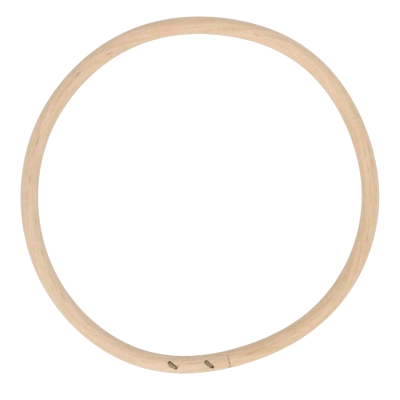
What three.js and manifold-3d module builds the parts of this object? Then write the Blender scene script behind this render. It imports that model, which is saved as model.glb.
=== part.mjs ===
// An embroidery hoop made of one peeled cane rod. The rod is bent round into a ring, its two ends are cut
// to tongues that lap each other, and the lap is glued and held by two wire staples.
// Sizes are in millimetres and degrees, and +Z is up. The hoop lies flat, with its lap towards -Y, and the
// origin is on the table under the middle of the ring.
import * as THREE from "three";
import { mergeVertices } from "three/addons/utils/BufferGeometryUtils.js";
import Module from "manifold-3d";

const wasm = await Module();
wasm.setup();

// Ring and rod
const HOOP_OUTER_DIAMETER = 200; // the mean, measured over the outside
const ROD_DIAMETER = 10;
const ROD_SIDES = 24; // a multiple of 4 gives the rod one flat below and one above
const RING_STATIONS = 120;

// A ring bent by hand is a little out of round: how many bulges, how far they stand out, where the first is
const BULGES = [
  { count: 2, swell: 1.1, at: 39.5 },
  { count: 3, swell: 0.6, at: -6.5 },
  { count: 4, swell: 0.6, at: -30.5 },
  { count: 5, swell: 0.3, at: -29.5 },
  { count: 6, swell: 0.12, at: 0 },
  { count: 7, swell: 0.18, at: 1.5 },
];

// Lap joint: two tongues, each with a blunt tip, that thicken evenly to half the rod
const LAP_ANGLE = 267.3; // middle of the lap, counterclockwise from +X
const LAP_ROLL = 60; // the way that the front tongue faces, from outwards towards up
const TIP_THICKNESS = 2.35;
const TIP_RAMP = 10; // how far from its tip a tongue reaches half the rod
const END_GAP = 0.4; // the open gap at each tip
const GLUE_THICKNESS = 0.2;
const GLUE_CLEARANCE = 0.05; // on each face of the glue

// Staples, bent from flat wire
const STAPLE_SPACING = 20.3;
const STAPLE_TO_TIP = 11; // from the middle of a staple to the nearer tip of the lap
const CROWN_LENGTH = 5.8;
const WIRE_WIDTH = 1.35; // across the crown, as seen from above
const WIRE_THICKNESS = 0.95;
const BEND_RADIUS = 1.1; // outside of the bend from crown to leg
const POINT_LENGTH = 1.3;
const POINT_WIDTH = 0.25; // the blunt end of a leg's point
const SINK_DEPTH = 0.45; // from the rod's surface down to the crown's top
const POINT_COVER = 0.9; // wood left under the points
const SLOT_CLEARANCE = 0.1; // between the wire and the wood, all round

// Each staple's side of the lap's middle, how far out of the rod's middle it is, and its turn from the rod
const STAPLES = [
  { name: "staple_left", side: -1, outward: 0.55, turn: 34.5 },
  { name: "staple_right", side: 1, outward: 1, turn: 46 },
];

const radians = THREE.MathUtils.degToRad;
const ROD_RADIUS = ROD_DIAMETER / 2;
const RING_RADIUS = (HOOP_OUTER_DIAMETER - ROD_DIAMETER) / 2;
const LAP_LENGTH = STAPLE_SPACING + 2 * STAPLE_TO_TIP;
const REACH = 2 * ROD_DIAMETER; // far enough to cut right through the rod
const LAP_STEP = 1.5; // the spacing of points along the lap's curved cuts

// The rod's middle line at an angle round the ring: its point, and the unit vectors along it and outwards
function rodLine(angle) {
  let radius = RING_RADIUS;
  let slope = 0;
  for (const { count, swell, at } of BULGES) {
    const phase = count * (angle - radians(at));
    radius += swell * Math.cos(phase);
    slope -= swell * count * Math.sin(phase);
  }
  const point = new THREE.Vector3(radius * Math.cos(angle), radius * Math.sin(angle), 0);
  const along = new THREE.Vector3(
    slope * Math.cos(angle) - radius * Math.sin(angle),
    slope * Math.sin(angle) + radius * Math.cos(angle),
    0,
  ).normalize();
  const outward = new THREE.Vector3(along.y, -along.x, 0);
  return { point, along, outward };
}

// The middle of the ring's outline, which goes over the origin
function ringMiddle() {
  const outline = new THREE.Box3();
  for (let degree = 0; degree < 360; degree += 0.5) outline.expandByPoint(rodLine(radians(degree)).point);
  return outline.getCenter(new THREE.Vector3());
}
const RING_SHIFT = new THREE.Vector3(0, 0, ROD_RADIUS).sub(ringMiddle());

// The rod's own axes at a distance from the lap's middle, with the rod's middle line over the table
function rodFrame(distance) {
  const { point, along, outward } = rodLine(radians(LAP_ANGLE) + distance / RING_RADIUS);
  return { middle: point.add(RING_SHIFT), along, outward };
}

const UP = new THREE.Vector3(0, 0, 1);

// A direction across the rod, rolled from outwards towards up
function rolled(outward, roll) {
  return outward.clone().multiplyScalar(Math.cos(roll)).addScaledVector(UP, Math.sin(roll));
}

// A closed geometry as a solid for cutting
function solidOf(geometry) {
  const bare = geometry.clone();
  bare.deleteAttribute("normal");
  bare.deleteAttribute("uv");
  const merged = mergeVertices(bare, 1e-4);
  return new wasm.Manifold(
    new wasm.Mesh({
      numProp: 3,
      vertProperties: new Float32Array(merged.attributes.position.array),
      triVerts: new Uint32Array(merged.index.array),
    }),
  );
}

// A solid as a geometry with flat facets
function geometryOf(solid) {
  const mesh = solid.getMesh();
  const geometry = new THREE.BufferGeometry();
  geometry.setAttribute("position", new THREE.BufferAttribute(mesh.vertProperties, 3));
  geometry.setIndex(new THREE.BufferAttribute(mesh.triVerts, 1));
  const faceted = geometry.toNonIndexed();
  faceted.computeVertexNormals();
  return faceted;
}

// The rod bent into a closed ring, before its lap is cut. Its flats touch the true round.
function closedRing() {
  const cornerRadius = ROD_RADIUS / Math.cos(Math.PI / ROD_SIDES);
  const positions = [];
  const indices = [];
  for (let station = 0; station < RING_STATIONS; station++) {
    const { point, outward } = rodLine((2 * Math.PI * station) / RING_STATIONS);
    for (let corner = 0; corner < ROD_SIDES; corner++) {
      const roll = (2 * Math.PI * (corner + 0.5)) / ROD_SIDES;
      const place = point.clone().add(RING_SHIFT).addScaledVector(rolled(outward, roll), cornerRadius);
      positions.push(place.x, place.y, place.z);
      const next = (station + 1) % RING_STATIONS;
      const beside = (corner + 1) % ROD_SIDES;
      const here = station * ROD_SIDES + corner;
      const ahead = next * ROD_SIDES + corner;
      const hereBeside = station * ROD_SIDES + beside;
      const aheadBeside = next * ROD_SIDES + beside;
      indices.push(here, ahead, hereBeside, hereBeside, ahead, aheadBeside);
    }
  }
  const geometry = new THREE.BufferGeometry();
  geometry.setAttribute("position", new THREE.Float32BufferAttribute(positions, 3));
  geometry.setIndex(indices);
  return geometry;
}

// How far the lap's parting face stands from the rod's middle, towards the front tongue
function partingHeight(distance) {
  const intoRamp = (Math.abs(distance) - (LAP_LENGTH / 2 - TIP_RAMP)) / TIP_RAMP;
  const share = THREE.MathUtils.clamp(intoRamp, 0, 1);
  return Math.sign(distance) * share * (ROD_RADIUS - TIP_THICKNESS);
}

// Points along the parting face from one distance to another, moved by an offset across it. They share their
// whole steps from the lap's middle, so the faces of wood and glue stay parallel.
function partingPoints(from, to, offset) {
  const distances = [from];
  const firstStep = Math.floor(from / LAP_STEP) + 1;
  for (let step = firstStep; step * LAP_STEP < to; step++) distances.push(step * LAP_STEP);
  distances.push(to);
  return distances.map((distance) => new THREE.Vector2(distance, partingHeight(distance) + offset));
}

// Turns an outline, drawn with x along the rod and y across the lap, into a solid that bends with the rod
function bentSolid(outline) {
  const shape = new THREE.Shape(outline);
  const geometry = new THREE.ExtrudeGeometry(shape, { depth: 2 * REACH, bevelEnabled: false });
  geometry.translate(0, 0, -REACH);
  const position = geometry.attributes.position;
  for (let i = 0; i < position.count; i++) {
    const { middle, outward } = rodFrame(position.getX(i));
    const front = rolled(outward, radians(LAP_ROLL));
    const aside = rolled(outward, radians(LAP_ROLL - 90));
    middle.addScaledVector(front, position.getY(i)).addScaledVector(aside, position.getZ(i));
    position.setXYZ(i, middle.x, middle.y, middle.z);
  }
  return solidOf(geometry);
}

// The saw cut that parts the two tongues: the seam between them, and the open gap at each tip
function lapCut() {
  const half = LAP_LENGTH / 2;
  const seam = GLUE_THICKNESS / 2 + GLUE_CLEARANCE;
  const backFace = partingPoints(-half, half + END_GAP, -seam);
  const frontFace = partingPoints(-half - END_GAP, half, seam).reverse();
  return bentSolid([
    new THREE.Vector2(-half - END_GAP, -REACH),
    new THREE.Vector2(-half, -REACH),
    ...backFace,
    new THREE.Vector2(half + END_GAP, REACH),
    new THREE.Vector2(half, REACH),
    ...frontFace,
  ]);
}

// The film of glue that fills the seam
function glueFilm() {
  const end = LAP_LENGTH / 2 - GLUE_CLEARANCE;
  const back = partingPoints(-end, end, -GLUE_THICKNESS / 2);
  const front = partingPoints(-end, end, GLUE_THICKNESS / 2).reverse();
  return bentSolid([...back, ...front]);
}

// How long a staple's legs are, from the crown's top: they stop short of the far side of the rod
function legLength() {
  const steepest = Math.max(...STAPLES.map(({ turn }) => turn));
  const legAside = (CROWN_LENGTH / 2) * Math.sin(radians(steepest));
  const woodUnderMiddle = Math.sqrt(Math.max(ROD_RADIUS ** 2 - legAside ** 2, 0));
  return ROD_RADIUS - SINK_DEPTH + woodUnderMiddle - POINT_COVER;
}

// A staple's outline, with y = 0 at the crown's top and its legs down. A clearance grows it on all sides,
// and an opening carries its top up out of the wood: with both it is the slot that the staple goes into.
function stapleOutline(clearance, opening) {
  const outside = CROWN_LENGTH / 2 + clearance;
  const inside = CROWN_LENGTH / 2 - WIRE_THICKNESS - clearance;
  const top = clearance + opening;
  const underCrown = -WIRE_THICKNESS - clearance;
  const foot = -legLength() - clearance;
  const pointTop = foot + POINT_LENGTH;
  const pointMiddle = (outside + inside) / 2;
  const pointHalf = POINT_WIDTH / 2 + clearance;
  const bend = Math.min(BEND_RADIUS, CROWN_LENGTH / 2);
  const outline = new THREE.Shape();
  outline.moveTo(-inside, underCrown);
  outline.lineTo(-inside, pointTop);
  outline.lineTo(-pointMiddle + pointHalf, foot);
  outline.lineTo(-pointMiddle - pointHalf, foot);
  outline.lineTo(-outside, pointTop);
  if (opening > 0) {
    outline.lineTo(-outside, top);
    outline.lineTo(outside, top);
  } else {
    outline.lineTo(-outside, top - bend);
    outline.absarc(-outside + bend, top - bend, bend, Math.PI, Math.PI / 2, true);
    outline.absarc(outside - bend, top - bend, bend, Math.PI / 2, 0, true);
  }
  outline.lineTo(outside, pointTop);
  outline.lineTo(pointMiddle + pointHalf, foot);
  outline.lineTo(pointMiddle - pointHalf, foot);
  outline.lineTo(inside, pointTop);
  outline.lineTo(inside, underCrown);
  return outline;
}

// The outline extruded to the wire's width, with the width's middle on the outline's plane
function stapleGeometry(clearance, opening) {
  const depth = WIRE_WIDTH + 2 * clearance;
  const geometry = new THREE.ExtrudeGeometry(stapleOutline(clearance, opening), {
    depth,
    bevelEnabled: false,
    curveSegments: 5,
  });
  geometry.translate(0, 0, -depth / 2);
  return geometry;
}

// Where a staple sits: its crown's top under the rod's surface, its legs square to that surface
function staplePlace({ side, outward: offset, turn }) {
  const { middle, along, outward } = rodFrame((side * STAPLE_SPACING) / 2);
  const lean = Math.asin(offset / ROD_RADIUS);
  const upwards = rolled(outward, Math.PI / 2 - lean);
  const aside = rolled(outward, -lean);
  const crown = along
    .clone()
    .multiplyScalar(Math.cos(radians(turn)))
    .addScaledVector(aside, Math.sin(radians(turn)));
  const across = crown.clone().cross(upwards);
  return new THREE.Matrix4()
    .makeBasis(crown, upwards, across)
    .setPosition(middle.addScaledVector(upwards, ROD_RADIUS - SINK_DEPTH));
}

// The slots that the staples have cut, one solid for each staple
function stapleSlots() {
  const opening = SINK_DEPTH + ROD_RADIUS;
  return STAPLES.map((staple) =>
    solidOf(stapleGeometry(SLOT_CLEARANCE, opening).applyMatrix4(staplePlace(staple))),
  );
}

const caneWood = new THREE.MeshStandardMaterial({ color: "#dec1a2", roughness: 0.7, metalness: 0 });
const dullSteel = new THREE.MeshStandardMaterial({ color: "#8f8672", roughness: 0.45, metalness: 1 });
const driedGlue = new THREE.MeshStandardMaterial({ color: "#b98f62", roughness: 0.4, metalness: 0 });

const hoop = new THREE.Group();

function addPiece(name, geometry, material) {
  const mesh = new THREE.Mesh(geometry, material);
  mesh.name = name;
  hoop.add(mesh);
  return mesh;
}

const ring = solidOf(closedRing());
const slots = stapleSlots();
const rod = slots.reduce((left, slot) => left.subtract(slot), ring.subtract(lapCut()));
const glue = slots.reduce((left, slot) => left.subtract(slot), ring.intersect(glueFilm()));

addPiece("hoop_rod", geometryOf(rod), caneWood);
addPiece("lap_glue", geometryOf(glue), driedGlue);
for (const staple of STAPLES) {
  const mesh = addPiece(staple.name, stapleGeometry(0, 0), dullSteel);
  staplePlace(staple).decompose(mesh.position, mesh.quaternion, mesh.scale);
}

export default hoop;
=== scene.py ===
import math

import bmesh
import bpy
import numpy as np
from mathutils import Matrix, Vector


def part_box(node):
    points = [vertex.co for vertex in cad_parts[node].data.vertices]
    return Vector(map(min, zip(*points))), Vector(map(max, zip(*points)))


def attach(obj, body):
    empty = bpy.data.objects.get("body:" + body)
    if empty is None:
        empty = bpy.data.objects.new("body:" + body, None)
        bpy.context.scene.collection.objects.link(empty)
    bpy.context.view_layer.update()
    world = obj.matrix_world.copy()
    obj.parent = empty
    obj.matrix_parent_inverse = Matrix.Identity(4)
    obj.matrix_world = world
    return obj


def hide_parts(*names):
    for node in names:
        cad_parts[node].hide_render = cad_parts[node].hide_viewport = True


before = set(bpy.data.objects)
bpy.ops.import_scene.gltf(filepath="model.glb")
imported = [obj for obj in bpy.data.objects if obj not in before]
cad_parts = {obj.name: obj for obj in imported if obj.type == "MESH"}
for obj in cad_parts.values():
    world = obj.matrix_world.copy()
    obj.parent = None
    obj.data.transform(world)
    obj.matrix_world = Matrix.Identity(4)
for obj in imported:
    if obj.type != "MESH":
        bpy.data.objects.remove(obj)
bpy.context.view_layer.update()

scene = bpy.context.scene
mm = 0.001
rodLow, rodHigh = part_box("hoop_rod")
rodRadius = (rodHigh.z - rodLow.z) / 2
rodLevel = rodLow.z + rodRadius
print("frame loaded:", ", ".join(sorted(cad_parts)))


# The view: straight down on the ring, as in the photograph. One pixel there is 0.557 mm on the hoop.
view = {
    "imageSide": 400,
    "ringMiddle": (199.91, 195.04),  # in the image, in pixels
    "pixel": 0.557 * mm,
    "distance": 1.2,  # above the rod's middle, in metres
    "clip": (0.05, 20),  # the nearest and the farthest that is drawn, in metres
}


def makeCamera():
    # the ring's middle goes to its pixel by moving the camera sideways, so that no shift is needed
    camera = bpy.data.objects.new("camera", bpy.data.cameras.new("camera"))
    scene.collection.objects.link(camera)
    middle = view["imageSide"] / 2
    camera.location = (
        (middle - view["ringMiddle"][0]) * view["pixel"],
        (view["ringMiddle"][1] - middle) * view["pixel"],
        rodLevel + view["distance"],
    )
    camera.data.sensor_fit = "HORIZONTAL"
    camera.data.angle = 2 * math.atan(middle * view["pixel"] / view["distance"])
    camera.data.clip_start, camera.data.clip_end = view["clip"]
    scene.camera = camera


makeCamera()
print("camera made")


# Small helpers for shapes

def smoothStep(low, high, values):
    # 0 below low, 1 above high, and 3t² - 2t³ between them
    t = np.clip((values - low) / (high - low), 0, 1)
    return t * t * (3 - 2 * t)


def easeOut(distance, reach):
    # 1 at no distance, falling as a parabola to 0 at reach
    return np.clip(1 - distance / reach, 0, 1) ** 2


def waves(rng, parts, along, turn):
    # a sum of sines: each runs a whole number of times round the rod and once per length along it, from a
    # random start
    total = np.zeros(np.broadcast(along, turn).shape)
    for count, length, amount in parts:
        total += amount * np.sin(count * turn + 2 * np.pi * (along / length + rng.random()))
    return total


def loopFaces(rows, columns):
    # quads between each loop of points and the next one, for loops that run anticlockwise along the path
    row, column = np.meshgrid(np.arange(rows - 1), np.arange(columns), indexing="ij")
    beside = (column + 1) % columns
    here, ahead = row * columns, (row + 1) * columns
    quads = [here + column, here + beside, ahead + beside, ahead + column]
    return np.stack(quads, -1).reshape(-1, 4)


def makePiece(name, loops, material):
    # a closed surface from loops of points, rows x columns x 3: quads between the loops, and a fan of
    # triangles from the middle of the first loop and of the last one
    rows, columns = loops.shape[:2]
    points = np.concatenate([loops.reshape(-1, 3), [loops[0].mean(0)], [loops[-1].mean(0)]])
    quads = loopFaces(rows, columns)
    here = np.arange(columns)
    beside = (here + 1) % columns
    lastRow = (rows - 1) * columns
    startFan = np.stack([np.full(columns, rows * columns), beside, here], -1)
    endFan = np.stack([np.full(columns, rows * columns + 1), lastRow + here, lastRow + beside], -1)
    corners = np.concatenate([quads.ravel(), startFan.ravel(), endFan.ravel()]).astype(np.int32)
    sizes = np.concatenate([np.full(len(quads), 4), np.full(2 * columns, 3)]).astype(np.int32)
    mesh = bpy.data.meshes.new(name)
    mesh.vertices.add(len(points))
    mesh.vertices.foreach_set("co", points.astype(np.float32).ravel())
    mesh.loops.add(len(corners))
    mesh.loops.foreach_set("vertex_index", corners)
    mesh.polygons.add(len(sizes))
    mesh.polygons.foreach_set("loop_start", np.concatenate([[0], np.cumsum(sizes)[:-1]]).astype(np.int32))
    mesh.update(calc_edges=True)
    mesh.validate()
    piece = bpy.data.objects.new(name, mesh)
    scene.collection.objects.link(piece)
    mesh.materials.append(material)
    return piece


def setAttribute(piece, name, values):
    # a number or a vector for each point of the mesh, which materials read by name
    kind, field = ("FLOAT", "value") if values.ndim == 1 else ("FLOAT_VECTOR", "vector")
    attribute = piece.data.attributes.new(name, kind, "POINT")
    attribute.data.foreach_set(field, values.astype(np.float32).ravel())


def finishMesh(piece, sharpAngle, weld):
    # joins the points that lie on each other, then smooths all edges but the sharp ones
    shape = bmesh.new()
    shape.from_mesh(piece.data)
    bmesh.ops.remove_doubles(shape, verts=shape.verts, dist=weld)
    shape.to_mesh(piece.data)
    shape.free()
    piece.data.polygons.foreach_set("use_smooth", np.ones(len(piece.data.polygons), bool))
    piece.data.set_sharp_from_angle(angle=math.radians(sharpAngle))


# Small helpers for materials

def linear(hexColour):
    # an sRGB colour as #rrggbb, turned to the linear colour that shaders take
    channels = [int(hexColour[i:i + 2], 16) / 255 for i in (1, 3, 5)]
    return [c / 12.92 if c <= 0.04045 else ((c + 0.055) / 1.055) ** 2.4 for c in channels] + [1.0]


def addNode(tree, kind, settings, inputs):
    # one node with its settings, and with each input set to a value or linked to another node's output
    node = tree.nodes.new(kind)
    for name, value in settings.items():
        setattr(node, name, value)
    for name, value in inputs.items():
        if isinstance(value, bpy.types.NodeSocket):
            tree.links.new(value, node.inputs[name])
        else:
            node.inputs[name].default_value = value
    return node


def startMaterial(name, values):
    # a material with only its shader, set to these values, and its output
    material = bpy.data.materials.new(name)
    material.use_nodes = True
    material.node_tree.nodes.clear()
    shader = addNode(material.node_tree, "ShaderNodeBsdfPrincipled", {}, values)
    addNode(material.node_tree, "ShaderNodeOutputMaterial", {}, {"Surface": shader.outputs[0]})
    return material, material.node_tree, shader


def surfacePatterns(tree, placeName, attributeNames, noises):
    # what a material's layers go by: numbers that the mesh carries, and noises drawn out along the piece, of
    # which one unit is as long and as wide as a grain, in mm
    place = addNode(tree, "ShaderNodeAttribute", {"attribute_name": placeName}, {}).outputs["Vector"]
    patterns = {}
    for name in attributeNames:
        patterns[name] = addNode(tree, "ShaderNodeAttribute", {"attribute_name": name}, {}).outputs["Fac"]
    for name, (length, width, detail, roughness) in noises.items():
        scale = [1 / (size * mm) for size in (length, width, width)]
        drawnOut = addNode(tree, "ShaderNodeMapping", {}, {"Vector": place, "Scale": scale}).outputs[0]
        inputs = {"Vector": drawnOut, "Scale": 1.0, "Detail": detail, "Roughness": roughness}
        patterns[name] = addNode(tree, "ShaderNodeTexNoise", {}, inputs).outputs["Fac"]
    return place, patterns


def paintLayers(tree, colour, layers, patterns):
    # lays each layer's colour over the ones below it. As the layer's pattern goes from low to high (inputs 1
    # and 2 of Map Range), its share goes evenly from the first value to the second (inputs 3 and 4).
    for blend, pattern, low, high, first, second, hexColour in layers:
        inputs = {"Value": patterns[pattern], 1: low, 2: high, 3: first, 4: second}
        share = addNode(tree, "ShaderNodeMapRange", {}, inputs).outputs[0]
        settings = {"data_type": "RGBA", "blend_type": blend}
        inputs = {0: share, 6: colour, 7: linear(hexColour)}  # 6 and 7 are the two colours
        colour = addNode(tree, "ShaderNodeMix", settings, inputs).outputs[2]
    return colour


# The ring's line: a circle with bulges, as the frame has it
ring = {
    "outerDiameter": 200 * mm,
    "bulges": [  # how many, how far out, and the direction of the first one in degrees
        (2, 1.1 * mm, 39.5),
        (3, 0.6 * mm, -6.5),
        (4, 0.6 * mm, -30.5),
        (5, 0.3 * mm, -29.5),
        (6, 0.12 * mm, 0),
        (7, 0.18 * mm, 1.5),
    ],
}
ringRadius = ring["outerDiameter"] / 2 - rodRadius

# The lap: the rod's two ends, cut to tongues that lie on each other
lap = {
    "direction": 267.3,  # of its middle, in degrees anticlockwise from +X
    "roll": 60,  # the way that the front tongue faces, from outwards towards up
    "stapleSpacing": 20.3 * mm,
    "stapleToTip": 11 * mm,
    "tipThickness": 2.35 * mm,
    "tipRamp": 10 * mm,
    "endGap": 0.4 * mm,
    "seam": 0.03 * mm,  # where the tongues are pressed together
    "tipSeam": 0.08 * mm,  # where they have sprung apart a little, at their tips
    "sprung": 9 * mm,  # how far from its tip a tongue has sprung
}
lapHalf = lap["stapleSpacing"] / 2 + lap["stapleToTip"]
lapRoll = math.radians(lap["roll"])
turnLength = 2 * math.pi * ringRadius


def ringLine(direction):
    # the radius is the mean plus a cosine for each bulge; its slope gives the way along the rod
    radius = np.full(np.shape(direction), ringRadius)
    slope = np.zeros(np.shape(direction))
    for count, swell, at in ring["bulges"]:
        phase = count * (direction - math.radians(at))
        radius = radius + swell * np.cos(phase)
        slope = slope - swell * count * np.sin(phase)
    cosine, sine = np.cos(direction), np.sin(direction)
    point = np.stack([radius * cosine, radius * sine], -1)
    along = np.stack([slope * cosine - radius * sine, slope * sine + radius * cosine], -1)
    return point, along / np.linalg.norm(along, axis=-1, keepdims=True)


def ringShift():
    # what brings the middle of the ring's outline over the origin
    point, _ = ringLine(np.radians(np.arange(0, 360, 0.5)))
    return -(point.min(0) + point.max(0)) / 2


def rodAxes(distance):
    # the rod's middle point, the way along it and the way outwards, at a distance from the lap's middle
    point, along = ringLine(math.radians(lap["direction"]) + np.asarray(distance) / ringRadius)
    level = np.zeros(point.shape[:-1] + (1,))
    middle = np.concatenate([point + ringShift(), level + rodLevel], -1)
    outward = np.stack([along[..., 1], -along[..., 0]], -1)
    return middle, np.concatenate([along, level], -1), np.concatenate([outward, level], -1)


def rolled(outward, roll):
    # a direction across the rod, turned from outwards towards up
    return outward * np.cos(roll)[..., None] + np.array([0, 0, 1]) * np.sin(roll)[..., None]


def placeInLap(distance, front, aside):
    # a point across the rod, given by how far it is towards the front tongue and beside that
    middle, _, outward = rodAxes(distance)
    frontWay = rolled(outward, np.full(np.shape(distance), lapRoll))
    asideWay = rolled(outward, np.full(np.shape(distance), lapRoll - np.pi / 2))
    return middle + frontWay * front[..., None] + asideWay * aside[..., None]


def partingHeight(fromLap):
    # the parting face is level with the rod's middle, and near each tip it slopes to leave the tip thin
    ramp = np.clip((np.abs(fromLap) - lapHalf) / lap["tipRamp"] + 1, 0, 1)
    return np.sign(fromLap) * ramp * (rodRadius - lap["tipThickness"])


def sprungOpen(fromLap):
    # 0 where the tongues are tight together, rising by a smooth step to 1 at each tip
    return smoothStep(lapHalf - lap["sprung"], lapHalf, np.abs(fromLap))


def seamWidth(fromLap):
    # from the tight seam's width to the tips' width, as far as the tongues have sprung open
    return lap["seam"] + (lap["tipSeam"] - lap["seam"]) * sprungOpen(fromLap)


# The staples. In the photograph a crown runs from the upper left to the lower right, and across it is towards
# the lower left. A pair gives the upper left end first, or else the upper right side.
staples = {
    "left": {
        "side": -1,  # which end of the lap it is at
        "outward": 0.55 * mm,  # from the rod's top line, away from the ring's middle
        "turn": 34.5,  # from the rod's line, in degrees
        "slid": (-0.18 * mm, 0.0),  # by the hammer, along the crown and across it
        "inset": 0.26 * mm,  # the crown's top, from the rod's surface
        "tip": 8,  # sideways, in degrees
        "bent": 0.0,  # how far across the crown's middle has bent
        "narrowed": (0.22 * mm, 0.26 * mm),  # each side, at the two ends
        # how far one side is beaten out (minus: the upper right one), where along, and half how long
        "spread": (0.62 * mm, -0.45 * mm, 1.6 * mm),
        # how far off the wood is, at the two sides and at the two ends (minus: it laps over)
        "parted": (0.48 * mm, -0.04 * mm),
        "endRoom": (0.04 * mm, 0.2 * mm),
        "dustAndHighlight": (0.55, 0.55),  # pale with wood dust and glue, at the upper left end and on the rest; where the upper left end is paler, that is a painted highlight
        "rusty": (1.2 * mm, 1.3 * mm),  # how far in from the two ends
        "sideShade": 1.0,  # how dark the painted shade is on the wood along the sides
        "splits": [  # in the wood, painted dark as shade: at which end, how long, how wide, and the direction from the rod's line
            (-1, 1.6 * mm, 0.2 * mm, 172),
            (1, 3.0 * mm, 0.45 * mm, 42),
        ],
    },
    "right": {
        "side": 1,
        "outward": 1.0 * mm,
        "turn": 46,
        "slid": (-0.36 * mm, -0.15 * mm),
        "inset": 0.12 * mm,
        "tip": -3,
        "bent": 0.36 * mm,
        "narrowed": (0.0, 0.24 * mm),
        "spread": (-0.86 * mm, -0.5 * mm, 5.5 * mm),
        "parted": (-0.15 * mm, -0.06 * mm),
        "endRoom": (-0.02 * mm, 0.34 * mm),
        "dustAndHighlight": (0.75, 0.1),
        "rusty": (0.25 * mm, 2.1 * mm),
        "sideShade": 0.3,
        "splits": [
            (-1, 1.2 * mm, 0.2 * mm, 200),
            (1, 1.5 * mm, 0.2 * mm, 10),
        ],
    },
}

# The wire of both staples
wire = {
    "crown": 5.8 * mm,
    "width": 1.35 * mm,
    "thickness": 0.95 * mm,
    "bend": 1.1 * mm,  # outside radius
    "sink": 0.45 * mm,  # from the rod's surface down to a straight crown's top
    "follow": 0.74,  # the share of the rod's roundness that the hammered crown has taken
    "cover": 0.9 * mm,  # wood under the points
    "point": 1.3 * mm,
    "pointWidth": 0.25 * mm,
    "narrowFrom": 1.2 * mm,  # from the crown's end
    "squareness": 3.6,  # the power of its section, a superellipse
    "unevenWidth": 0.04,  # how much the crown's width changes along it, as a share
    "unevenHeight": 0.02 * mm,
    "unevenSide": 0.03 * mm,
    "hammerWaves": [(0, 3.1 * mm, 1), (0, 1.7 * mm, 0.6)],  # no turns, length, share
    "dustHighlightReach": 1.8 * mm,  # from the upper left end to where the dust and painted highlight are as on the rest
    "rustCore": 0.3,  # the share of the rust's reach that is rusty all over
    "sectionPoints": 36,
    "legSteps": 14,
    "bendSteps": 12,
    "crownSteps": 30,
    "patternStep": 20 * mm,  # from one staple's part of the patterns to the other's
    "sharpAngle": 60,
    "weld": 0.0001 * mm,
}


def stapleAxes(staple):
    # the crown's middle on the rod's surface, the way along the crown, the way out of the wood, and across
    middle, along, outward = rodAxes(staple["side"] * lap["stapleSpacing"] / 2)
    lean = np.arcsin(staple["outward"] / rodRadius)
    out = rolled(outward, np.array(np.pi / 2 - lean))
    aside = rolled(outward, np.array(-lean))
    turn = math.radians(staple["turn"])
    crown = along * np.cos(turn) + aside * np.sin(turn)
    across = np.cross(crown, out)
    slid = crown * staple["slid"][0] + across * staple["slid"][1]
    return middle + out * rodRadius + slid, crown, out, across


def crownSides(staple, lengthwise):
    # how far across the crown its two long sides are. Parabolas bend both, spread one, and draw both in near
    # the ends.
    amount, at, half = staple["spread"]
    spread = amount * np.clip(1 - ((lengthwise - at) / half) ** 2, 0, 1)
    nearEnd = easeOut(np.maximum(wire["crown"] / 2 - np.abs(lengthwise), 0), wire["narrowFrom"])
    halfWidth = wire["width"] / 2 - np.where(lengthwise < 0, *staple["narrowed"]) * nearEnd
    bend, _ = crownBend(staple, lengthwise)
    return bend + np.minimum(spread, 0) - halfWidth, bend + np.maximum(spread, 0) + halfWidth


def crownBend(staple, lengthwise):
    # how far across the crown's middle line is, and its slope, with which the crown's ends turn
    share = np.clip(2 * lengthwise / wire["crown"], -1, 1)
    return staple["bent"] * (1 - share**2), -4 * staple["bent"] / wire["crown"] * share


def rustiness(staple, lengthwise):
    # 0 along the crown's middle, rising by a smooth step to 1 near its two ends
    inFromEnd = wire["crown"] / 2 - np.abs(lengthwise)
    reach = np.where(lengthwise < 0, *staple["rusty"])
    return 1 - smoothStep(wire["rustCore"] * reach, reach, inFromEnd)


# The rod
rod = {
    "frontColumns": 120,  # points round the rod's half that faces the front of the lap
    "backColumns": 40,
    "gatheredAt": -21,  # where they lie closer together between the staples, in degrees from the front
    "gathered": 2.6,  # how much closer
    "gatheredOver": 31.5,  # the reach of that, a bell, in degrees
    "gatheredEnds": (14.5 * mm, 19.5 * mm),  # where it fades, from the lap's middle
    "edgeEase": 0.06 * mm,  # how far the cut edges are worn back
    "easeReach": 0.3 * mm,
    "seamWear": 0.4,  # the share of that which the parting line has, where the tongues have sprung apart, and the share of painted shade along it there
    "endEase": 0.08 * mm,  # the same for the saw cuts across the rod
    "endReach": 0.5 * mm,
    "endShade": 0.55,  # how dark the painted shade is at their edges and faces, as if shadowed by the saw gap
    "settle": 6 * mm,  # how far from the lap the points take to spread evenly
    "sharpAngle": 35,  # edges with a smaller angle are smoothed
    "weld": 0.002 * mm,  # points nearer than this are joined
    "skin": 0.01 * mm,  # sanded off all round
    # waves in the skin: how many go round the rod, the length along it in metres, and the share; then how
    # deep they are, and about the most that their shares add up to at one place
    "flutes": [(9, 0.31, 1), (13, 0.22, 1), (16, 0.17, 0.8), (21, 0.26, 0.7), (27, 0.19, 0.6)],
    "fluteDepth": 0.012 * mm,
    "fluteSum": 2.6,
    "swells": [(1, 0.13, 1), (2, 0.09, 1), (3, 0.071, 0.7), (0, 0.052, 0.6), (2, 0.037, 0.5)],
    "swellDepth": 0.02 * mm,
    "swellSum": 2.4,
}

# How far apart the rod's loops of points are in each stretch, and how far the finer stretches go
spacing = {
    "cut": 0.1 * mm,
    "shoulder": 0.2 * mm,  # on a tongue, before the other end's shoulder
    "staple": 0.08 * mm,
    "lap": 0.6 * mm,
    "backTongue": 0.8 * mm,
    "rest": 3 * mm,
    "cutZone": 0.6 * mm,
    "buttZone": 1.2 * mm,
    "stapleZone": 4.3 * mm,  # on each side of a staple's middle
}

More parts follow.
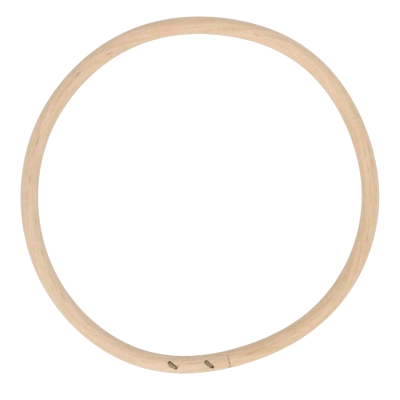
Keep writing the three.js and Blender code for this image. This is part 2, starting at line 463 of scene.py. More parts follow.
# The front tongue's butt end: its saw gap is narrower than the frame's and closed in two places, and a
# splinter is gone just before it. Directions and half widths are in degrees round the rod from the way that
# the tongue faces.
butt = {
    "narrowed": 0.17 * mm,
    "touches": [(4.5, 5), (32, 17)],  # where the end touches the shoulder: direction and half width
    "closed": 0.97,  # the share of the gap that it closes there
    "reach": 2 * mm,  # how far back the wood is moved for that
    "pit": (24.5, 9),
    "pitBefore": 0.62 * mm,  # its middle, from the end
    "pitLength": 0.85 * mm,  # half of it
    "pitDepth": 0.45 * mm,
    # how dark the pit's painted shade is
    "pitShade": 0.6,
}

# The dents that the staples were driven into: a slot, and a lip that slopes down to it from the rod's
# surface. Where the slot, the lip and the darkening begin and end is measured out from the crown: painted
# shade in the slot and on the lip, with a rust stain near the crown's ends.
dent = {
    "depth": 1.0 * mm,
    "slot": (0.01 * mm, 0.08 * mm),
    "lipDepth": 0.2 * mm,
    "lip": (0.02 * mm, 0.3 * mm),
    "corner": 0.6 * mm,
    "stainAndShade": (0.04 * mm, 0.3 * mm),
    "splitDepth": 0.1 * mm,
    "within": 3 * mm,  # no wood further below the crown's level is moved
}


def stretches(edges):
    # distances from edge to edge, each stretch in even steps no longer than its own
    pieces = []
    for (start, step), (end, _) in zip(edges[:-1], edges[1:]):
        count = max(1, math.ceil((end - start) / step - 1e-6))  # a whole number isn't rounded up
        pieces.append(np.linspace(start, end, count, endpoint=False))
    return np.concatenate(pieces + [[edges[-1][0]]])


def rodRows():
    # how far along the rod each loop of points is, which tongue it belongs to (-1 the back one, 1 the front
    # one, 0 the whole rod), and its place in the lap. A shoulder has two loops at one place: the tongue's and
    # the whole rod's.
    reach, zone = lap["stapleSpacing"] / 2, spacing["stapleZone"]
    shoulder, cutZone = lapHalf + lap["endGap"], spacing["cutZone"]
    backTongue = stretches([
        (-lapHalf, spacing["cut"]),
        (-lapHalf + cutZone, spacing["backTongue"]),
        (shoulder - cutZone, spacing["shoulder"]),
        (shoulder, 0),
    ])
    whole = stretches([
        (shoulder, spacing["cut"]),
        (shoulder + cutZone, spacing["lap"]),
        (shoulder + rod["settle"], spacing["rest"]),
        (turnLength - shoulder - rod["settle"], spacing["lap"]),
        (turnLength - shoulder - cutZone, spacing["cut"]),
        (turnLength - shoulder, 0),
    ])
    frontTongue = turnLength + stretches([
        (-shoulder, spacing["shoulder"]),
        (-shoulder + cutZone, spacing["lap"]),
        (-reach - zone, spacing["staple"]),
        (-reach + zone, spacing["lap"]),
        (reach - zone, spacing["staple"]),
        (reach + zone, spacing["lap"]),
        (lapHalf - spacing["buttZone"], spacing["cut"]),
        (lapHalf, 0),
    ])
    distance = np.concatenate([backTongue, whole, frontTongue])
    keep = np.repeat([-1, 0, 1], [len(backTongue), len(whole), len(frontTongue)])
    fromLap = np.where(distance > turnLength / 2, distance - turnLength, distance)
    return distance, keep, fromLap


def frontShares(keep, fromLap):
    # places from -1 to 1 across the rod's front half: evenly spread, but gathered near the staples
    count = rod["frontColumns"]
    even = np.arange(count) / count * 2 - 1
    fine = np.linspace(-1, 1, 1001)
    bell = np.exp(-((90 * fine - rod["gatheredAt"]) / rod["gatheredOver"]) ** 2)
    closeness = 1 + (rod["gathered"] - 1) * bell
    total = np.cumsum(closeness) - closeness[0]
    gathered = np.interp((even + 1) / 2 * total[-1], total, fine)
    near = 1 - smoothStep(*rod["gatheredEnds"], np.abs(fromLap))
    near = np.where(keep == 1, near, 0)[:, None]
    return even + (gathered - even) * near


def rodSections(keep, fromLap):
    # each loop is a circle of which a tongue keeps one side of the parting face: the points of the lost
    # side go to the straight cut, and the points near the cut's edges are drawn in to ease them
    shoulder = lapHalf + lap["endGap"]
    cut = partingHeight(fromLap) + keep * seamWidth(fromLap) / 2
    shoulderCut = partingHeight(np.sign(fromLap) * shoulder) - np.sign(fromLap) * lap["tipSeam"] / 2
    easing = smoothStep(shoulder, shoulder + rod["settle"], np.abs(fromLap))
    wholeSplit = np.arccos(shoulderCut / rodRadius) * (1 - easing) + np.pi / 2 * easing
    split = np.where(keep == 0, wholeSplit, np.arccos(np.clip(cut / rodRadius, -1, 1)))[:, None]
    frontShare = frontShares(keep, fromLap)
    backShare = np.arange(rod["backColumns"]) / rod["backColumns"] * 2 - 1
    turn = np.concatenate([frontShare * split, np.pi + backShare * (np.pi - split)], 1)
    isFront = np.arange(turn.shape[1])[None, :] < rod["frontColumns"]
    front, aside = rodRadius * np.cos(turn), rodRadius * np.sin(turn)
    share = np.concatenate([frontShare, np.broadcast_to(-backShare, (len(keep), len(backShare)))], 1)
    halfWidth = rodRadius * np.sin(split)
    onCut = ((keep[:, None] == -1) & isFront) | ((keep[:, None] == 1) & ~isFront)
    front = np.where(onCut, cut[:, None], front)
    aside = np.where(onCut, halfWidth * share, aside)

    # how near each point is to the cut's edges, to the tip, and, on the whole rod, to the shoulder
    gaps = [np.abs(turn - split), np.abs(turn + split), np.abs(turn - 2 * np.pi + split)]
    arcToEdge = rodRadius * np.minimum.reduce(gaps)
    toEdge = np.where(onCut, halfWidth - np.abs(aside), arcToEdge)
    whole = (keep == 0)[:, None]
    pastShoulder = np.where(whole, np.abs(fromLap[:, None]) - shoulder, 0)
    nearShoulder = easeOut(pastShoulder, rod["endReach"]) * whole
    lostSide = (keep[:, None] == 0) & (isFront == (fromLap[:, None] > 0))
    nearEdge = easeOut(toEdge, rod["easeReach"])
    nearTip = easeOut(lapHalf - keep * fromLap, rod["endReach"])[:, None] * ~whole
    nearSeam = nearEdge * rod["seamWear"] * sprungOpen(fromLap)[:, None] * ~whole
    nearEnd = np.maximum(np.maximum(nearEdge, lostSide) * nearShoulder, nearTip)
    # painted shade: the parting line's edges where the tongues have sprung apart, and the saw cuts' edges and
    # faces by the gap, are darkened as if shadowed
    cutShade = np.maximum(nearSeam, rod["endShade"] * nearEnd)
    worn = np.maximum(rod["edgeEase"] * nearSeam, rod["endEase"] * nearEnd)
    fade = easeOut(pastShoulder[:, 0], rod["settle"])
    # wear moves a point towards the heart of what the section has left
    wholeHeart = (shoulderCut - rodRadius * np.sign(fromLap)) * fade
    heart = np.where(keep == 0, wholeHeart, cut + keep * rodRadius)[:, None] / 2
    reach = np.hypot(front - heart, aside)
    front = front - (front - heart) / reach * worn
    aside = aside - aside / reach * worn
    return front, aside, onCut, cutShade


def rodLoops():
    # the loops of points, how far along the rod each point is, its place in the section, and its rust stain
    # and painted shade
    distance, keep, fromLap = rodRows()
    front, aside, onCut, cutShade = rodSections(keep, fromLap)
    turn = np.arctan2(aside, front)
    along = distance[:, None] + np.zeros_like(front)

    # the skin is sanded a little below the full round, with shallow flutes and slow swells
    rng = np.random.default_rng(11)
    flutes = waves(rng, rod["flutes"], along, turn) / rod["fluteSum"]
    swells = waves(rng, rod["swells"], along, turn) / rod["swellSum"]
    inset = rod["skin"] + rod["fluteDepth"] * (1 + flutes) + rod["swellDepth"] * (1 + swells)

    # the pit is half an egg, darkened by painted shade
    degrees = np.degrees(turn)
    pitRun = (fromLap - lapHalf + butt["pitBefore"]) / butt["pitLength"]
    pit = np.clip(1 - pitRun[:, None] ** 2 - ((degrees - butt["pit"][0]) / butt["pit"][1]) ** 2, 0, 1)
    pit = np.sqrt(pit) * (keep[:, None] == 1)
    drawn = np.where(onCut, 1, 1 - (inset + butt["pitDepth"] * pit) / rodRadius)
    front, aside = front * drawn, aside * drawn

    # the front tongue's end stands into the saw gap, and touches the shoulder in places
    touches = [np.clip(1 - ((degrees - at) / half) ** 2, 0, 1) for at, half in butt["touches"]]
    closed = butt["closed"] * lap["endGap"]
    closing = butt["narrowed"] + (closed - butt["narrowed"]) * np.maximum.reduce(touches)
    atTip = smoothStep(lapHalf - butt["reach"], lapHalf, fromLap)[:, None] * (keep[:, None] == 1)
    bent = distance[:, None] + closing * atTip
    loops = placeInLap(bent, front, aside)

    # round each staple the wood goes down by smooth steps of the distance from the crown's outline
    outer = (keep[:, None] == 1) & ~onCut
    stainAndShade = np.maximum(cutShade, butt["pitShade"] * pit)
    for staple in staples.values():
        centre, crown, out, across = stapleAxes(staple)
        offset = loops - centre
        outside = fromCrown(staple, offset @ crown, offset @ across)
        near = outer & (offset @ out > -dent["within"])
        slot = dent["depth"] * (1 - smoothStep(*dent["slot"], outside))
        depth = np.maximum(slot, dent["lipDepth"] * (1 - smoothStep(*dent["lip"], outside)))
        # painted shade in the slot and on the lip; near the crown's ends it is also a rust stain
        dark = 1 - smoothStep(*dent["stainAndShade"], outside)
        dark = dark * (staple["sideShade"] + (1 - staple["sideShade"]) * rustiness(staple, offset @ crown))
        for split in staple["splits"]:
            line = splitLine(offset, staple, *split)
            depth = np.maximum(depth, dent["splitDepth"] * line)
            # a split is painted dark as the shade in its crack
            dark = np.maximum(dark, line)
        loops = loops - np.where(near, depth, 0)[..., None] * out
        stainAndShade = np.maximum(stainAndShade, np.where(near, dark, 0))
    return loops, along, front, aside, stainAndShade


def fromCrown(staple, lengthwise, crosswise):
    # distance out from the crown's outline, a rectangle with round corners. The outline is widened on each
    # long side by what the wood has parted there.
    bend, slope = crownBend(staple, lengthwise)
    lengthwise = lengthwise + (crosswise - bend) * slope
    low, high = crownSides(staple, lengthwise)
    low, high = low - staple["parted"][0], high + staple["parted"][1]
    middle, halfWidth = (low + high) / 2, (high - low) / 2
    endRoom = np.where(lengthwise < 0, *staple["endRoom"])
    pastEnd = np.abs(lengthwise) - wire["crown"] / 2 - endRoom + dent["corner"]
    pastSide = np.abs(crosswise - middle) - halfWidth + dent["corner"]
    outside = np.hypot(np.maximum(pastEnd, 0), np.maximum(pastSide, 0))
    return outside + np.minimum(np.maximum(pastEnd, pastSide), 0) - dent["corner"]


def splitLine(offset, staple, end, length, width, heading):
    # a split in the wood from a staple's leg: a bell across it, falling as a parabola to 0 at its end
    _, along, _ = rodAxes(staple["side"] * lap["stapleSpacing"] / 2)
    _, crown, out, _ = stapleAxes(staple)
    aside = np.cross(out, along)
    way = along * math.cos(math.radians(heading)) + aside * math.sin(math.radians(heading))
    start = crown * end * (wire["crown"] / 2 - wire["thickness"] / 2)
    run = (offset - start) @ way
    off = (offset - start) @ np.cross(out, way)
    return np.exp(-(off / width) ** 2) * (run > 0) * np.clip(1 - (run / length) ** 2, 0, 1)


# A painted sheen: the wood is painted a little paler on two opposite sides of the ring, where its fibres run
# across the light, at these clock degrees and half a turn on
paintedSheenSides = {"clock": 45, "amount": 0.06}

# A streak fades at each end over this share of its length, but no further than this
streakFade = {"share": 0.3, "longest": 3 * mm}

# Streaks seen in the photograph: from where to where in clock degrees from the top of the ring, how far they
# seem to lie outward of the rod's middle in mm, how wide they are in mm, and how dark (minus: a light streak)
grainMarks = [
    (8, 14, -0.3, 0.80, 0.12),
    (19, 20.7, -0.7, 0.30, 0.55),
    (25, 33, -1.2, 0.20, 0.30),
    (32, 37, -2.0, 0.35, -0.25),
    (45, 50, 3.2, 0.30, 0.30),
    (53, 54.8, 3.2, 0.30, 0.35),
    (58.5, 64, 2.8, 0.30, 0.35),
    (73.5, 76.5, 3.0, 0.35, 0.40),
    (74, 76.6, 0.3, 0.30, 0.45),
    (78, 80.6, 2.8, 0.35, 0.35),
    (79, 83, 0.1, 0.30, 0.40),
    (83, 93, 0.0, 0.22, 0.35),
    (94.3, 95.8, 1.8, 0.25, 0.35),
    (104, 105.7, 1.1, 0.30, 0.45),
    (144, 147, 0.3, 0.30, 0.30),
    (151, 154.6, -0.1, 0.30, 0.35),
    (156, 160, 0.0, 0.25, 0.25),
    (160.4, 163.2, 0.1, 0.40, 0.50),
    (178.6, 185.3, -0.5, 0.20, 0.45),
    (218, 222, -2.1, 0.40, 0.20),
    (230.9, 235.4, -1.7, 0.30, 0.55),
    (236, 245, -1.6, 0.20, 0.35),
    (247.7, 250.4, -2.1, 0.30, 0.65),
    (251.2, 253, 1.8, 0.30, 0.35),
    (255.8, 257, -2.6, 0.30, 0.50),
    (259, 262, -2.8, 0.25, 0.50),
    (261, 264.3, 1.1, 0.22, 0.30),
    (268, 272, 1.1, 0.25, 0.30),
    (274, 275.5, 0.1, 0.40, 0.50),
    (275.5, 277.7, 3.0, 0.30, 0.35),
    (282, 285.6, 0.9, 0.25, 0.30),
    (287.5, 288.7, 0.3, 0.40, 0.55),
    (289, 290.2, 0.3, 0.30, 0.30),
    (301, 314, 0.9, 0.35, 0.20),
    (313, 316.9, 1.0, 0.35, 0.70),
    (321.8, 323.8, -1.4, 0.35, 0.60),
    (327, 328.8, -1.4, 0.35, 0.60),
]


def paintMarks(along, turn):
    # dark and light streaks in the wood: each is a bell across the rod, faded at its two ends. Under them
    # lies the painted sheen of the paler sides. The camera sees the rod's top a little further out than it
    # is, by the slant of its line of sight.
    slant = math.atan(ringRadius / view["distance"])
    roll = lapRoll - turn
    clockNow = np.radians(90 - lap["direction"]) - along / ringRadius
    shade = -paintedSheenSides["amount"] * np.cos(2 * (clockNow - math.radians(paintedSheenSides["clock"])))
    for clockFrom, clockTo, outward, width, dark in grainMarks:
        first = math.radians((90 - lap["direction"] - clockTo) % 360) * ringRadius
        last = first + math.radians(clockTo - clockFrom) * ringRadius
        markRoll = math.acos(outward * mm / rodRadius) + slant
        gap = (roll - markRoll + np.pi) % (2 * np.pi) - np.pi
        bell = np.exp(-(gap * rodRadius / (width * mm)) ** 2)
        fade = min(streakFade["share"] * (last - first), streakFade["longest"])
        window = smoothStep(first, first + fade, along) * (1 - smoothStep(last - fade, last, along))
        shade += dark * bell * window
    return shade


# How the cane looks. Its patterns are drawn out along the rod.
caneLook = {
    # how long and how wide one grain of the noise is in mm, and its detail and roughness. Real hairs are
    # finer, and are drawn as wide as they need to show.
    "noises": {
        "patches": (4.5, 3, 1.0, 0.5),
        "bands": (30, 1.6, 2.0, 0.5),
        "fibres": (1.6, 0.48, 2.0, 0.6),
        "poreGroups": (17, 2.2, 1.0, 0.5),
        "hairs": (5, 0.11, 1.0, 0.5),
    },
    # how long and how wide one cell is in mm, and the share of it that its pore fills
    "pores": {"shortPores": (2.4, 0.8, 0.2), "longPores": (15, 1.5, 0.1)},
    "poreCore": 0.3,  # the share of a pore's radius that is dark all over
    "grouped": (0.42, 0.62, 0.15, 1.0),  # low and high in the noise, and how many short pores show there
    # each layer: how it blends, its pattern, that pattern's low and high, the layer's share there, its colour
    "colour": "#e9cab5",
    "layers": [
        ("MIX", "patches", 0.36, 0.64, 0.0, 1.0, "#e1ccaa"),
        ("MULTIPLY", "browning", 0.0, 1.0, 0.0, 1.0, "#fffbf4"),
        ("MULTIPLY", "bands", 0.38, 0.66, 0.0, 0.34, "#e3cdb6"),
        ("MIX", "fibres", 0.30, 0.42, 0.18, 0.0, "#f0dcc4"),
        ("MULTIPLY", "fibres", 0.5, 0.72, 0.0, 0.36, "#dcc4aa"),
        ("MULTIPLY", "hairs", 0.5, 0.7, 0.0, 0.3, "#d8c2a6"),
        ("MULTIPLY", "shortPores", 0.0, 1.0, 0.0, 0.36, "#b48c66"),
        ("MULTIPLY", "longPores", 0.0, 1.0, 0.0, 0.22, "#b48c66"),
        # grain streaks, and the painted sheen that makes two sides of the ring paler
        ("MULTIPLY", "grainMarkAndSheen", 0.0, 1.0, 0.0, 1.0, "#b08a66"),
        ("MIX", "grainMarkAndSheen", -0.3, 0.0, 0.7, 0.0, "#efd9bd"),
        # painted shade in the saw cuts, seam, pit, dents and splits, and the rust stain by the staples
        ("MULTIPLY", "stainAndShade", 0.0, 1.0, 0.0, 1.0, "#bb966f"),
    ],
    "roughness": (0.3, 0.7, 0.55, 0.7),  # low and high in the fibres, and the roughness there
    "shader": {
        "IOR": 1.5,
        "Specular IOR Level": 0.3,
        "Sheen Weight": 0.7,
        "Sheen Tint": linear("#cbeaff"),
        "Sheen Roughness": 0.45,
    },
    "relief": {"hairs": 0.3, "shortPores": -0.9},  # added to the fibres' height
    "bump": {"Strength": 0.6, "Distance": 0.03 * mm},
}


def makeCane():
    # Peeled cane (rattan core), sanded and unvarnished: pale tan wood with fine straight fibres along the
    # rod, short dark pores in loose groups, faint pink and straw-yellow patches, and a dry powdery sheen that
    # cools its rims
    material, tree, shader = startMaterial("peeled_cane", caneLook["shader"])
    attributes = ("browning", "grainMarkAndSheen", "stainAndShade")
    place, patterns = surfacePatterns(tree, "rodPlace", attributes, caneLook["noises"])

    # a pore is 1 in the middle of its Voronoi cell and 0 outside its radius; the short ones come in groups
    for name, (length, width, radius) in caneLook["pores"].items():
        scale = [1 / (size * mm) for size in (length, width, width)]
        drawnOut = addNode(tree, "ShaderNodeMapping", {}, {"Vector": place, "Scale": scale}).outputs[0]
        inputs = {"Vector": drawnOut, "Scale": 1.0, "Randomness": 1.0}
        cells = addNode(tree, "ShaderNodeTexVoronoi", {}, inputs).outputs["Distance"]
        inputs = {"Value": cells, 1: caneLook["poreCore"] * radius, 2: radius, 3: 1.0, 4: 0.0}
        patterns[name] = addNode(tree, "ShaderNodeMapRange", {}, inputs).outputs[0]
    inputs = {"Value": patterns["poreGroups"], **dict(enumerate(caneLook["grouped"], 1))}
    groups = addNode(tree, "ShaderNodeMapRange", {}, inputs).outputs[0]
    inputs = {0: patterns["shortPores"], 1: groups}
    patterns["shortPores"] = addNode(tree, "ShaderNodeMath", {"operation": "MULTIPLY"}, inputs).outputs[0]

    colour = paintLayers(tree, linear(caneLook["colour"]), caneLook["layers"], patterns)
    tree.links.new(colour, shader.inputs["Base Color"])
    inputs = {"Value": patterns["fibres"], **dict(enumerate(caneLook["roughness"], 1))}
    rough = addNode(tree, "ShaderNodeMapRange", {}, inputs)
    tree.links.new(rough.outputs[0], shader.inputs["Roughness"])
    height = patterns["fibres"]
    for name, share in caneLook["relief"].items():
        inputs = {0: patterns[name], 1: share, 2: height}
        height = addNode(tree, "ShaderNodeMath", {"operation": "MULTIPLY_ADD"}, inputs).outputs[0]
    bump = addNode(tree, "ShaderNodeBump", {}, {"Height": height, **caneLook["bump"]})
    tree.links.new(bump.outputs[0], shader.inputs["Normal"])
    return material


# The fibres wind a little to and fro round the rod, as sines round the ring: how many, how far in radians,
# and the clock degrees where one runs most aslant
winding = {"count": 4, "amount": 0.9, "clock": 17}


def makeRod():
    # the rod's mesh, and for its material the place of each point along the rod and across it, turned round
    # the rod as the fibres wind, how streaked it is and how it is painted with the sheen of the paler sides,
    # and how browned, stained and painted with shade it is
    loops, along, front, aside, stainAndShade = rodLoops()
    piece = makePiece("cane_rod", loops, makeCane())
    turn = np.arctan2(aside, front)
    fromClock = np.radians(90 - lap["direction"] - winding["clock"]) - along / ringRadius
    wound = turn - winding["amount"] * np.sin(winding["count"] * fromClock)
    fromMiddle = np.hypot(front, aside)
    place = np.stack([along, fromMiddle * np.cos(wound), fromMiddle * np.sin(wound)], -1)
    ends = np.stack([place[0].mean(0), place[-1].mean(0)])
    setAttribute(piece, "rodPlace", np.concatenate([place.reshape(-1, 3), ends]))
    setAttribute(piece, "grainMarkAndSheen", np.append(paintMarks(along, turn).ravel(), [0, 0]))
    # the wood has browned a little towards the end that is under the lap
    browning = 0.5 + 0.5 * np.cos(np.pi * along / turnLength)
    setAttribute(piece, "browning", np.append(browning.ravel(), [1, 0]))
    # the two end faces take the saw cuts' painted shade
    setAttribute(piece, "stainAndShade", np.append(stainAndShade.ravel(), np.full(2, rod["endShade"])))
    finishMesh(piece, rod["sharpAngle"], rod["weld"])
    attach(piece, "root")
    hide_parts("hoop_rod")
    print("rod made:", len(piece.data.vertices), "points")


makeRod()


# The glue in the lap's seam
glue = {
    "clearance": 0.004 * mm,  # from each tongue
    "recess": 0.04 * mm,  # from the rod's round in to the glue's edge
    "tipRecess": 0.2 * mm,
    "recessChange": 0.3,  # the share of it that wanders
    "edgeWaves": [(0, 0.017, 1), (0, 0.0071, 0.8), (0, 0.0033, 0.6)],  # no turns, length in metres, share
    "edgeSum": 2.4,
    "edgePower": 12,  # how square the film's edges are, and how thin they get, as a share
    "thinnest": 0.1,
    "endRoom": 0.05 * mm,
    "rows": 150,
    "columns": 20,
    "clouds": 1.43 * mm,  # the size of a paler or darker patch
    "sharpAngle": 50,
    "weld": 0.0001 * mm,
}


def makeGlue():
    # dried wood glue: a hard amber film, a little glossy, darker than the wood
    material, tree, shader = startMaterial("dried_wood_glue", {"Roughness": 0.38, "IOR": 1.47})
    place = addNode(tree, "ShaderNodeTexCoord", {}, {}).outputs["Object"]
    inputs = {"Vector": place, "Scale": 1 / glue["clouds"], "Detail": 3.0}
    clouds = addNode(tree, "ShaderNodeTexNoise", {}, inputs).outputs["Fac"]
    inputs = {0: clouds, 6: linear("#cfab82"), 7: linear("#b58c62")}
    tint = addNode(tree, "ShaderNodeMix", {"data_type": "RGBA"}, inputs)
    tree.links.new(tint.outputs[2], shader.inputs["Base Color"])
    inputs = {"Height": clouds, "Strength": 0.5, "Distance": 0.05 * mm}
    bump = addNode(tree, "ShaderNodeBump", {}, inputs)
    tree.links.new(bump.outputs[0], shader.inputs["Normal"])

    # the film follows the parting face. Across the rod it is a flat loop whose two edges wander in and out,
    # and shrink back where the tongues have sprung apart.
    distance = np.linspace(-lapHalf + glue["endRoom"], lapHalf - glue["endRoom"], glue["rows"])
    height = partingHeight(distance)
    halfThick = (seamWidth(distance) / 2 - glue["clearance"])[:, None]
    rng = np.random.default_rng(5)
    sides = []
    for _ in range(2):
        wander = waves(rng, glue["edgeWaves"], distance, 0) / glue["edgeSum"]
        recess = glue["recess"] + (glue["tipRecess"] - glue["recess"]) * sprungOpen(distance)
        recess = recess * (1 + glue["recessChange"] * wander)
        sides.append(np.sqrt(rodRadius**2 - height**2) - recess)
    share = np.linspace(-1, 1, glue["columns"])
    middle, half = (sides[0] - sides[1]) / 2, (sides[0] + sides[1]) / 2
    rounded = np.sqrt(np.clip(1 - np.abs(share) ** glue["edgePower"], glue["thinnest"] ** 2, 1))
    acrossTop = middle[:, None] + half[:, None] * share
    top = height[:, None] + halfThick * rounded
    bottom = height[:, None] - halfThick * rounded
    aside = np.concatenate([acrossTop, acrossTop[:, ::-1]], 1)
    front = np.concatenate([bottom, top[:, ::-1]], 1)
    flat = distance[:, None] + np.zeros_like(front)
    piece = makePiece("glue_film", placeInLap(flat, front, aside)[:, ::-1], material)
    finishMesh(piece, glue["sharpAngle"], glue["weld"])
    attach(piece, "root")
    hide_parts("lap_glue")


makeGlue()
print("glue made")


# How the wire looks, given as for the cane
steelLook = {
    "noises": {"blotches": (0.77, 0.455, 3.0, 0.5), "scratches": (2, 0.111, 2.0, 0.5)},
    "rustChange": (0.3, 0.7, -0.3, 0.3),  # low and high in the blotches, and what is added to the rust there
    "rustEdge": (0.35, 0.65, 0.0, 1.0),  # what that is sharpened to
    "colour": "#7e725b",
    "layers": [
        ("MIX", "blotches", 0.35, 0.62, 0.0, 1.0, "#6b604b"),
        ("MIX", "scratches", 0.5, 0.7, 0.0, 0.5, "#62563f"),
        # dust and glue, and a painted highlight on the right staple's upper left end
        ("MIX", "wireDustAndHighlight", 0.0, 1.0, 0.0, 1.0, "#b4997a"),
        ("MIX", "wireRust", 0.0, 1.0, 0.0, 1.0, "#76573a"),
    ],
    "shader": {"Metallic": (0.85, 0.1), "Roughness": (0.5, 0.85)},  # on bare wire and on rust
    "bump": {"Strength": 0.4, "Distance": 0.03 * mm},
}


def makeSteel():
    # Tarnished steel wire: flattened and once lacquered, so dull olive grey with darker scratches along it,
    # tan where dust and glue stick to it and as a painted highlight at one staple's end, and brown rust where
    # it bends down into the wood
    material, tree, shader = startMaterial("tarnished_steel_wire", {})
    _, patterns = surfacePatterns(tree, "wirePlace", ("wireRust", "wireDustAndHighlight"), steelLook["noises"])

    # the rust ends in blotches, with a sharp edge
    inputs = {"Value": patterns["blotches"], **dict(enumerate(steelLook["rustChange"], 1))}
    change = addNode(tree, "ShaderNodeMapRange", {}, inputs).outputs[0]
    rust = addNode(tree, "ShaderNodeMath", {"operation": "ADD"}, {0: patterns["wireRust"], 1: change})
    inputs = {"Value": rust.outputs[0], **dict(enumerate(steelLook["rustEdge"], 1))}
    patterns["wireRust"] = addNode(tree, "ShaderNodeMapRange", {}, inputs).outputs[0]

    colour = paintLayers(tree, linear(steelLook["colour"]), steelLook["layers"], patterns)
    tree.links.new(colour, shader.inputs["Base Color"])
    for name, (bare, rusted) in steelLook["shader"].items():
        value = addNode(tree, "ShaderNodeMapRange", {}, {"Value": patterns["wireRust"], 3: bare, 4: rusted})
        tree.links.new(value.outputs[0], shader.inputs[name])
    bump = addNode(tree, "ShaderNodeBump", {}, {"Height": patterns["scratches"], **steelLook["bump"]})
    tree.links.new(bump.outputs[0], shader.inputs["Normal"])
    return material


def stapleLine():
    # the wire's middle line goes up one leg, round a quarter circle, along the crown and down again: how far
    # along and how high each point is, the line's heading there, and how deep the legs end
    bendRadius = wire["bend"] - wire["thickness"] / 2
    half = wire["crown"] / 2 - wire["thickness"] / 2
    top = -wire["thickness"] / 2
    legAside = wire["crown"] / 2 * math.sin(math.radians(max(s["turn"] for s in staples.values())))
    legEnd = rodRadius - wire["sink"] + math.sqrt(rodRadius**2 - legAside**2) - wire["cover"]
    leg = np.linspace(-legEnd, top - bendRadius, wire["legSteps"])
    quarter = np.linspace(np.pi, np.pi / 2, wire["bendSteps"])[1:]
    crown = np.linspace(-half + bendRadius, half - bendRadius, wire["crownSteps"])[1:]
    bendX, bendY = bendRadius * (1 + np.cos(quarter)) - half, bendRadius * (np.sin(quarter) - 1) + top
    x = np.concatenate([np.full(len(leg), -half), bendX, crown])
    y = np.concatenate([leg, bendY, np.full(len(crown), top)])
    heading = np.concatenate([np.full(len(leg), np.pi / 2), quarter - np.pi / 2, np.zeros(len(crown))])
    down = slice(len(leg) + len(quarter) - 2, None, -1)
    heading = np.concatenate([heading, -heading[down]])
    return np.concatenate([x, -x[down]]), np.concatenate([y, y[down]]), heading, legEnd


def makeStaple(name, staple, material, seed):
    # the wire's section, a rounded rectangle (a superellipse), is carried along its line. Each leg narrows to
    # a chisel point, and the crown is tipped, bent, spread and pressed to the rod's roundness.
    x, y, heading, legEnd = stapleLine()
    onTop = smoothStep(-2 * wire["bend"], -wire["thickness"] / 2, y)[:, None]
    # the angle runs backwards, so that the faces point outwards
    angle = np.linspace(2 * np.pi, 0, wire["sectionPoints"], endpoint=False)
    power = 2 / wire["squareness"]
    wide = np.sign(np.cos(angle)) * np.abs(np.cos(angle)) ** power
    thick = wire["thickness"] / 2 * np.sign(np.sin(angle)) * np.abs(np.sin(angle)) ** power
    toEnd = np.clip((y + legEnd) / wire["point"], 0, 1)[:, None]
    thick = thick * (wire["pointWidth"] / wire["thickness"] * (1 - toEnd) + toEnd)

    # the hammer has left the crown a little uneven in width, in height and sideways
    rng = np.random.default_rng(seed)
    wider, higher, sideways = (waves(rng, wire["hammerWaves"], x, 0)[:, None] for _ in range(3))
    low, high = (side[:, None] for side in crownSides(staple, x))
    breadth = wide * (high - low) / 2 * (1 + wire["unevenWidth"] * wider * onTop)
    lean = math.tan(math.radians(staple["tip"])) * onTop
    planeX = x[:, None] - np.sin(heading)[:, None] * thick
    planeY = y[:, None] + np.cos(heading)[:, None] * thick + breadth * lean
    planeZ = breadth + (low + high) / 2 + wire["unevenSide"] * sideways * onTop
    bend, slope = (part[:, None] for part in crownBend(staple, x))
    planeX = planeX - (planeZ - bend) * slope
    turn = math.radians(staple["turn"])
    slidX, slidZ = staple["slid"]
    acrossRod = (planeX + slidX) * math.sin(turn) + (planeZ + slidZ) * math.cos(turn)
    roundness = wire["follow"] * (np.sqrt(rodRadius**2 - acrossRod**2) - rodRadius)
    raised = wire["sink"] - staple["inset"] + wire["unevenHeight"] * higher + roundness
    planeY = planeY + raised * onTop

    centre, crown, out, across = stapleAxes(staple)
    loops = centre - out * wire["sink"]
    loops = loops + planeX[..., None] * crown + planeY[..., None] * out + planeZ[..., None] * across
    piece = makePiece("steel_staple_" + name, loops, material)
    place = np.stack([planeX + wire["patternStep"] * seed, planeY, planeZ], -1).reshape(-1, 3)
    rust = np.repeat(rustiness(staple, x), len(angle))
    # dust and glue along the crown, with a painted highlight where one end is paler
    dustHighlight = np.interp(x + wire["crown"] / 2, [0, wire["dustHighlightReach"]], staple["dustAndHighlight"])
    dustHighlight = np.repeat(dustHighlight, len(angle))
    for attribute, values in (("wirePlace", place), ("wireRust", rust), ("wireDustAndHighlight", dustHighlight)):
        setAttribute(piece, attribute, np.concatenate([values, values[[0, -1]]]))
    finishMesh(piece, wire["sharpAngle"], wire["weld"])
    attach(piece, "root")
    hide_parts("staple_" + name)


steel = makeSteel()
for seed, (name, staple) in enumerate(staples.items()):
    makeStaple(name, staple, steel, seed + 1)
print("staples made")


# The studio: a white floor and world, one soft light from the side of the lap
studio = {
    "worldLevel": 0.80,
    "floorWhite": 0.85,  # how much of the floor's white is its own, and not lit
    "floorGlow": 1.15,  # how bright its own white is
    "floorHalfSide": 3.0,  # in metres
    "floorShade": "#f4f3f1",
    "sunLevel": 0.28,
    "sunFrom": (0, 52),  # degrees to the right of the lap's side, and above the floor
    "sunSoftness": 40,
}


def seenRays(tree):
    # 1 for the camera's own rays and for those in reflections and through glass, and 0 for the rest
    rays = addNode(tree, "ShaderNodeLightPath", {}, {})
    seen = rays.outputs["Is Camera Ray"]
    for kind in ("Is Glossy Ray", "Is Transmission Ray"):
        inputs = {0: seen, 1: rays.outputs[kind]}
        seen = addNode(tree, "ShaderNodeMath", {"operation": "MAXIMUM"}, inputs).outputs[0]
    return seen


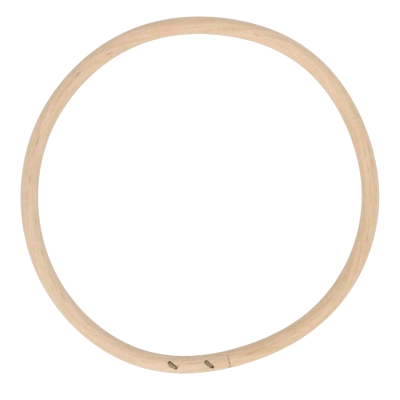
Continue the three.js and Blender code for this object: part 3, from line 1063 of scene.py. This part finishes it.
def makeFloor():
    # white to the camera and in reflections, with the hoop's shadow faint on it
    material = bpy.data.materials.new("studio_floor")
    material.use_nodes = True
    tree = material.node_tree
    tree.nodes.clear()
    inputs = {0: seenRays(tree), 1: studio["floorWhite"]}
    share = addNode(tree, "ShaderNodeMath", {"operation": "MULTIPLY"}, inputs)
    lit = addNode(tree, "ShaderNodeBsdfDiffuse", {}, {"Color": linear(studio["floorShade"])})
    white = addNode(tree, "ShaderNodeEmission", {}, {"Strength": studio["floorGlow"]})
    inputs = {0: share.outputs[0], 1: lit.outputs[0], 2: white.outputs[0]}
    both = addNode(tree, "ShaderNodeMixShader", {}, inputs)
    addNode(tree, "ShaderNodeOutputMaterial", {}, {"Surface": both.outputs[0]})
    mesh = bpy.data.meshes.new("floor")
    side = studio["floorHalfSide"]
    corners = [(-side, -side, 0), (side, -side, 0), (side, side, 0), (-side, side, 0)]
    mesh.from_pydata(corners, [], [(0, 1, 2, 3)])
    floor = bpy.data.objects.new("floor", mesh)
    scene.collection.objects.link(floor)
    mesh.materials.append(material)


def makeWorld():
    # white to the camera and in reflections, and a plain level of light from all round
    world = bpy.data.worlds.new("studio_world")
    world.use_nodes = True
    scene.world = world
    tree = world.node_tree
    tree.nodes.clear()
    inputs = {"Value": seenRays(tree), 3: studio["worldLevel"], 4: 1.0}
    strength = addNode(tree, "ShaderNodeMapRange", {}, inputs)
    inputs = {"Color": (1, 1, 1, 1), "Strength": strength.outputs[0]}
    sky = addNode(tree, "ShaderNodeBackground", {}, inputs)
    addNode(tree, "ShaderNodeOutputWorld", {}, {"Surface": sky.outputs[0]})


def makeSun():
    # a sun of strength pi lights a white floor below it to a level of 1
    sun = bpy.data.objects.new("soft_light", bpy.data.lights.new("soft_light", "SUN"))
    scene.collection.objects.link(sun)
    sun.data.energy = math.pi * studio["sunLevel"]
    sun.data.angle = math.radians(studio["sunSoftness"])
    right, above = (math.radians(a) for a in studio["sunFrom"])
    sun.rotation_euler = (math.pi / 2 - above, 0, right)


makeFloor()
makeWorld()
makeSun()
scene.view_settings.view_transform = "Standard"
print("studio made")
